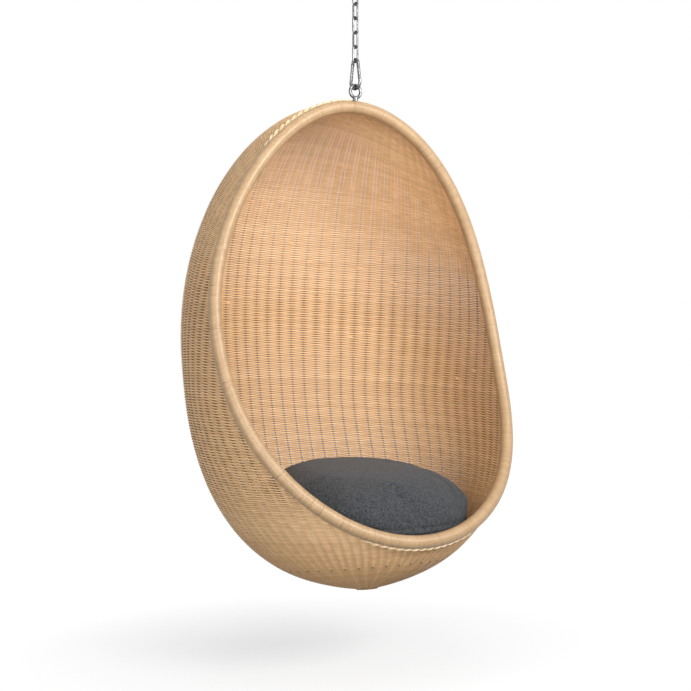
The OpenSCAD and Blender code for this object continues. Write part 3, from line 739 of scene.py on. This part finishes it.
HOOP_N = 3000
path, hoop_length = hoop_line(HOOP_N)
way_round = np.arange(HOOP_N) / HOOP_N * hoop_length
peel_guide = strings("peel_line", [(leaned(path), True)], along=[way_round])
tree, socket = geometry_tree("wound_peel", Radius=HOOP_R - 0.0009, Sides=28, Step=PEEL_W,
                             Swell=0.0006)
line = put(tree, "GeometryNodeMeshToCurve", {"Mesh": socket["Geometry"]})
ring = put(tree, "GeometryNodeCurvePrimitiveCircle",
           {"Resolution": socket["Sides"], "Radius": socket["Radius"]})
turn = put(tree, "GeometryNodeSplineParameter", out="Factor")
ring = put(tree, "GeometryNodeStoreNamedAttribute",
           {"Geometry": ring, "Name": "around", "Value": turn}, data_type="FLOAT", domain="POINT")
shape = put(tree, "GeometryNodeCurveToMesh", {"Curve": line, "Profile Curve": ring})
along = put(tree, "GeometryNodeInputNamedAttribute", {"Name": "along"}, data_type="FLOAT")
turn = put(tree, "GeometryNodeInputNamedAttribute", {"Name": "around"}, data_type="FLOAT")
wind = along / socket["Step"] + turn
ridge = (1.0 - (((wind % 1.0) - 0.5).abs() * 2) ** 4.0) * socket["Swell"]
cell = put(tree, "ShaderNodeTexWhiteNoise", {"W": wind.floor()}, out="Value", noise_dimensions="1D")
wave = put(tree, "ShaderNodeTexNoise", {"Scale": 60.0, "Detail": 1.0})
seam = near_seam(along + (wave - 0.5) * 0.006)
normal = put(tree, "GeometryNodeInputNormal")
push = put(tree, "ShaderNodeVectorMath", {0: normal, "Scale": ridge + cell * 0.0003 - seam * 0.0012},
           operation="SCALE")
shape = put(tree, "GeometryNodeSetPosition", {"Geometry": shape, "Offset": push})
shape = put(tree, "GeometryNodeStoreNamedAttribute",
            {"Geometry": shape, "Name": "seam", "Value": seam}, data_type="FLOAT", domain="POINT")
close_tree(tree, shape, peel)
peel_wrap = modelled(peel_guide, tree, "peel_wrap")
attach(peel_wrap, "chair")
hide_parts("peel_binding")
pole_cane = cane_finish("pole_cane", (0.62, 0.42, 0.22), (0.42, 0.26, 0.12), 0.6)
for name in ("hoop_pole", "scarf_dowel"):
    dress(name, pole_cane)

# Border: two strands of core twined round each other behind the hoop, over
# the bent ends of the stakes, which locks the last rows of the weave.
BORDER_SET = 0.0130
BORDER_TUCK = 0.0165
STRAND_D = 0.0046
TWIST = 0.0026
TWIST_STEP = 0.040
LASH_STEP = 0.0205
LASH_W = 0.0042
BORDER_IN = 0.001
BORDER_OUT = 0.0105
BORDER_OUT_TOP = 0.0030
border_cane = cane_finish("border_cane", (0.95, 0.76, 0.52), (0.78, 0.55, 0.30), 0.4)
BORDER_N = 2400
rim, _ = hoop_line(BORDER_N)
path, border_length = hoop_line(BORDER_N, BORDER_SET)
tucked, _ = hoop_line(BORDER_N, BORDER_TUCK)
free = free_edge(path)[:, None]
path = tucked + (path - tucked) * free
face_out = outward(path)
lift = -BORDER_IN + BORDER_OUT * free + BORDER_OUT_TOP * free * (path[:, 2:] > 0)
forward = np.roll(path, -1, axis=0) - np.roll(path, 1, axis=0)
forward /= np.linalg.norm(forward, axis=1, keepdims=True)
across = np.cross(forward, face_out)
twist_n = round(border_length / TWIST_STEP)
lines, tones = [], []
dice = np.random.RandomState(23)
for strand in range(2):
    phase = 2 * math.pi * (np.arange(BORDER_N) / BORDER_N * twist_n + strand / 2)[:, None]
    rope = path + face_out * (lift + TWIST * np.sin(phase)) + across * TWIST * np.cos(phase)
    lines.append((leaned(rope), True))
    tones.append(np.repeat(dice.rand(80), 30))
# Each lashing is three turns of core, from the weave over the border to the hoop.
lash_n = round(border_length / LASH_STEP)
for k in range(lash_n):
    for turn in (-1, 0, 1):
        at = int(BORDER_N * ((k + 0.5) / lash_n + turn * LASH_W / border_length)) % BORDER_N
        if free[at, 0] > 0.5:
            back = path[at] + face_out[at] * (lift[at] + 0.0012)
            foot = path[at] * 1.6 - rim[at] * 0.6 + face_out[at] * 0.001
            front = rim[at] + (path[at] - rim[at]) * 0.4 + face_out[at] * (lift[at] + 0.002)
            lines.append((leaned(np.array([foot, back, front])), False))
            tones.append(np.full(3, 0.35))
border = cane_rods("border", lines, tones, border_cane, Radius=STRAND_D / 2, Sides=7)
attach(border, "chair")
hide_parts("border_twine")

# Bottom knot: the long stakes' ends come together under the bowl, are bound
# with a flat coil of core, and are cut off short below it.
KNOT_CORE_R = 0.0019
COIL_TURNS = 7
COIL_R = (0.003, 0.022)
COIL_Z = -BOWL_D - 0.0088
LONG_STAKES = STAKE_N // 2
knot_cane = cane_finish("knot_cane", (0.8, 0.55, 0.3), (0.4, 0.22, 0.09), 0.5)
phase = np.linspace(0, 2 * math.pi * COIL_TURNS, 40 * COIL_TURNS)
coil_r = np.linspace(*COIL_R, len(phase))
coil = np.stack([coil_r * np.cos(phase), coil_r * np.sin(phase), np.full(len(phase), COIL_Z)], -1)
lines, tones = [(leaned(coil), False)], [np.full(len(coil), 0.6)]
for k in range(LONG_STAKES):
    turn = 2 * math.pi * (k + 0.5) / LONG_STAKES
    away = np.array([math.cos(turn), math.sin(turn), 0])
    foot = np.array([0, 0, -BOWL_D - FOOT_SAG])
    # Each end comes down to the coil, turns down beside it and is cut off.
    bend = [foot + away * 0.036 + (0, 0, 0.002), foot + away * 0.029 + (0, 0, 0.0005),
            foot + away * 0.0245 + (0, 0, -0.001),
            foot + away * (0.0235 + 0.001 * (k % 3)) + (0, 0, -0.0028 - 0.001 * (k % 2))]
    lines.append((leaned(np.array(bend)), False))
    tones.append(np.full(4, (k * 7 % 10) / 10))
knot = cane_rods("knot", lines, tones, knot_cane, Radius=KNOT_CORE_R, Sides=7)
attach(knot, "chair")
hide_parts("base_knot")

# Cushion: a deep round pad in dark grey melange cloth, filled tight and pressed
# into the bowl. Its side seam is gathered, which puckers the cloth a little.
PAD_HALF = (0.2500, 0.2540)
PAD_UP, PAD_DOWN = 0.072, 0.150
PAD_MIDDLE = np.array([0, -0.02402, -0.366])
PAD_TILT = math.radians(14)
PAD_START = 0.008
PAD_CAP = 0.012
PAD_CLEAR = 0.0085
PAD_VOXEL = 0.0062
PRESSURE_STEPS = 16


def power(value, exponent):
    """A power that keeps the value's sign."""
    return np.sign(value) * np.abs(value) ** exponent


def pad_points(inset, around, rings):
    """The pad's plain shape, drawn in by inset, with its puckered side."""
    u = np.linspace(-math.pi / 2, math.pi / 2, rings)[:, None]
    w = np.linspace(0, 2 * math.pi, around, endpoint=False)[None, :]
    height = np.where(u < 0, PAD_DOWN, PAD_UP) - inset
    z = height * power(np.sin(u), 0.8) + 0 * w
    flat = power(np.cos(u), 0.8) * (1 - 0.012 * (1 + np.cos(7 * w)) * np.cos(u))
    x = (PAD_HALF[0] - inset) * flat * power(np.cos(w), 0.85)
    y = (PAD_HALF[1] - inset) * flat * power(np.sin(w), 0.85)
    c, s = math.cos(PAD_TILT), math.sin(PAD_TILT)
    return np.stack([x, c * y - s * z, s * y + c * z], -1) + PAD_MIDDLE


hoop_points, _ = hoop_line(240)
PAD_HUB = PAD_MIDDLE + (0, 0, 0.144)


def too_far(p, spare):
    """True where a point of the pad would press into the weave or the hoop."""
    r = np.hypot(p[..., 0], p[..., 1]) / (EGG_R - spare)
    down = np.abs(p[..., 2]) / (BOWL_D - spare)
    near = np.min(np.linalg.norm(p[..., None, :] - hoop_points, axis=-1), axis=-1)
    return (r ** BOWL_FULL + down ** BOWL_STEEP > 1) | (near < HOOP_R + spare - 0.002)


def bedded(p, spare=PAD_CLEAR):
    """Draws what would press into the weave or the hoop back towards the pad."""
    low, high = np.zeros(p.shape[:-1]), np.ones(p.shape[:-1])
    bad = too_far(p, spare)
    for _ in range(18):
        mid = (low + high) / 2
        out = too_far(PAD_HUB + mid[..., None] * (p - PAD_HUB), spare)
        low, high = np.where(out, low, mid), np.where(out, mid, high)
    return np.where(bad[..., None], PAD_HUB + low[..., None] * (p - PAD_HUB), p)


# The pad's mesh: rings of points closed by a point at the top and the bottom.
around, rings = 120, 60
grid = bedded(pad_points(PAD_START, around, rings))
body = grid[1:-1].reshape(-1, 3)
count = len(body)
verts = np.concatenate([body, grid[:1, 0], grid[-1:, 0]])
faces = []
for i in range(rings - 3):
    for j in range(around):
        k = (j + 1) % around
        faces.append((i * around + j, i * around + k, (i + 1) * around + k, (i + 1) * around + j))
last = (rings - 3) * around
faces += [(count, (j + 1) % around, j) for j in range(around)]
faces += [(count + 1, last + j, last + (j + 1) % around) for j in range(around)]
pad_mesh = bpy.data.meshes.new("cushion")
pad_mesh.from_pydata(verts.tolist(), [], faces)
cushion = new_object("cushion", pad_mesh)


def applied(piece):
    """Replaces a piece's mesh by what its modifiers make of it."""
    graph = bpy.context.evaluated_depsgraph_get()
    mesh = bpy.data.meshes.new_from_object(piece.evaluated_get(graph), depsgraph=graph)
    piece.modifiers.clear()
    piece.data = mesh


def corners(piece):
    """The points of a piece's mesh."""
    flat = np.empty(len(piece.data.vertices) * 3)
    piece.data.vertices.foreach_get("co", flat)
    return flat.reshape(-1, 3)


voxel = cushion.modifiers.new("even", "REMESH")
voxel.mode = "VOXEL"
voxel.voxel_size = PAD_VOXEL
applied(cushion)
# Air pressure swells the cover, and no point moves further than PAD_CAP.
start = corners(cushion)
cloth = cushion.modifiers.new("swell", "CLOTH")
cloth.settings.use_pressure = True
cloth.settings.uniform_pressure_force = 4
cloth.settings.effector_weights.gravity = 0
cloth.settings.quality = 4
cloth.settings.tension_stiffness = 9
cloth.settings.bending_stiffness = 0.4
cloth.point_cache.frame_start = 1
cloth.point_cache.frame_end = PRESSURE_STEPS
for step in range(1, PRESSURE_STEPS + 1):
    bpy.context.scene.frame_set(step)
applied(cushion)
moved = corners(cushion) - start
size = np.linalg.norm(moved, axis=1, keepdims=True)
moved *= np.minimum(1, PAD_CAP / np.maximum(size, 1e-9))
cushion.data.vertices.foreach_set("co", (start + moved).ravel())
subdivide = cushion.modifiers.new("soft", "SUBSURF")
subdivide.levels = subdivide.render_levels = 1
applied(cushion)

# Side seam: a stitched line round the pad's side, lower at the front, that
# pulls the cloth in, with small gathers beside it. A broad shallow crease runs
# across the top, where the filling has given way.
GATHER_N = 46
SEAM_PULL = 0.003
GATHER_PULL = 0.0035
CREASE_D = 0.003
SEAM_DIP = 0.030
p = corners(cushion)
q = p - PAD_MIDDLE
c, s = math.cos(PAD_TILT), math.sin(PAD_TILT)
own = np.stack([q[:, 0], c * q[:, 1] + s * q[:, 2], c * q[:, 2] - s * q[:, 1]], -1)
turn = np.arctan2(own[:, 1], own[:, 0])
dice = np.random.RandomState(31)
gather = np.zeros(len(p))
from_seam = own[:, 2] + SEAM_DIP * ease(-own[:, 1], -0.05, 0.15)
for _ in range(GATHER_N):
    at, wide, deep = dice.uniform(-math.pi, math.pi), dice.uniform(0.012, 0.03), dice.uniform(0.3, 1.0)
    away = np.abs((turn - at + math.pi) % (2 * math.pi) - math.pi)
    gather += deep * np.exp(-(away / wide) ** 2) * np.exp(-((from_seam + 0.004) / 0.018) ** 2)
pull = SEAM_PULL * np.exp(-(from_seam / 0.004) ** 2) + GATHER_PULL * np.clip(gather, 0, 1.2)
side = np.stack([own[:, 0], own[:, 1], 0 * turn], -1)
side /= np.maximum(np.linalg.norm(side, axis=1, keepdims=True), 1e-6)
own = own - side * pull[:, None]
crease = np.exp(-(((own[:, 0] * 0.5 + own[:, 1] * 0.87) - 0.06) / 0.035) ** 2)
own[:, 2] -= np.where(own[:, 2] > 0.02, CREASE_D * crease * ease(own[:, 0], -0.02, 0.12), 0)
q = np.stack([own[:, 0], c * own[:, 1] - s * own[:, 2], s * own[:, 1] + c * own[:, 2]], -1)
q = q + PAD_MIDDLE
cushion.data.vertices.foreach_set("co", leaned(bedded(q)).ravel())
cushion.data.polygons.foreach_set("use_smooth", [True] * len(cushion.data.polygons))
cushion.data.update()

# Cloth: a dull wool-like melange of near-black and grey threads, 2.6 mm to a
# pair, with flecks and slubs. It's tight over the filling.
THREAD_STEP = 0.0026
cloth_grey, tree, shader = finish("grey_melange_cloth", Sheen_Weight=0.08, Sheen_Roughness=0.5)
place = put(tree, "ShaderNodeTexCoord", out="Object")
axes = put(tree, "ShaderNodeSeparateXYZ", {"Vector": place})
x, y, z = (Wire(axes.socket.node.outputs[k]) for k in range(3))
thread = 2 * math.pi / THREAD_STEP
warp = put(tree, "ShaderNodeTexNoise", {"Vector": place, "Scale": 34.0, "Detail": 2.0})
knit = ((x + z * 0.7 + warp * 0.002) * thread).sin() * ((y + z * 0.7) * thread).sin()
fleck = put(tree, "ShaderNodeTexNoise",
            {"Vector": place, "Scale": 230.0, "Detail": 3.0, "Roughness": 0.8})
slub = put(tree, "ShaderNodeTexNoise", {"Vector": place, "Scale": 160.0, "Detail": 4.0})
share = (fleck * 3.6 + slub * 0.5 + knit * 0.14 - 1.6).held()
grey = blend_colour(tree, share, (0.0030, 0.0036, 0.0048), (0.060, 0.066, 0.073))
feed(shader.inputs["Base Color"], grey)
feed(shader.inputs["Roughness"], 0.78 + fleck * 0.18)
feed(shader.inputs["Normal"], put(tree, "ShaderNodeBump", {
    "Height": knit * 0.5 + fleck, "Strength": 0.55, "Distance": 0.0009}))
cushion.data.materials.append(cloth_grey)
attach(cushion, "cushion")
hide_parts("cushion_cover", "cushion_fill")

# Zip: a coil zip on dark tape, sewn into the back of the side seam, where the
# cover is opened for washing. The CAD solid has its shape and gets this finish.
zip_tape, tree, shader = finish("zip_tape", Roughness=0.6)
place = put(tree, "ShaderNodeTexCoord", out="Object")
speck = put(tree, "ShaderNodeTexNoise", {"Vector": place, "Scale": 700.0})
feed(shader.inputs["Base Color"], blend_colour(tree, speck, (0.02, 0.02, 0.022), (0.07, 0.07, 0.075)))
dress("cover_zip", zip_tape)
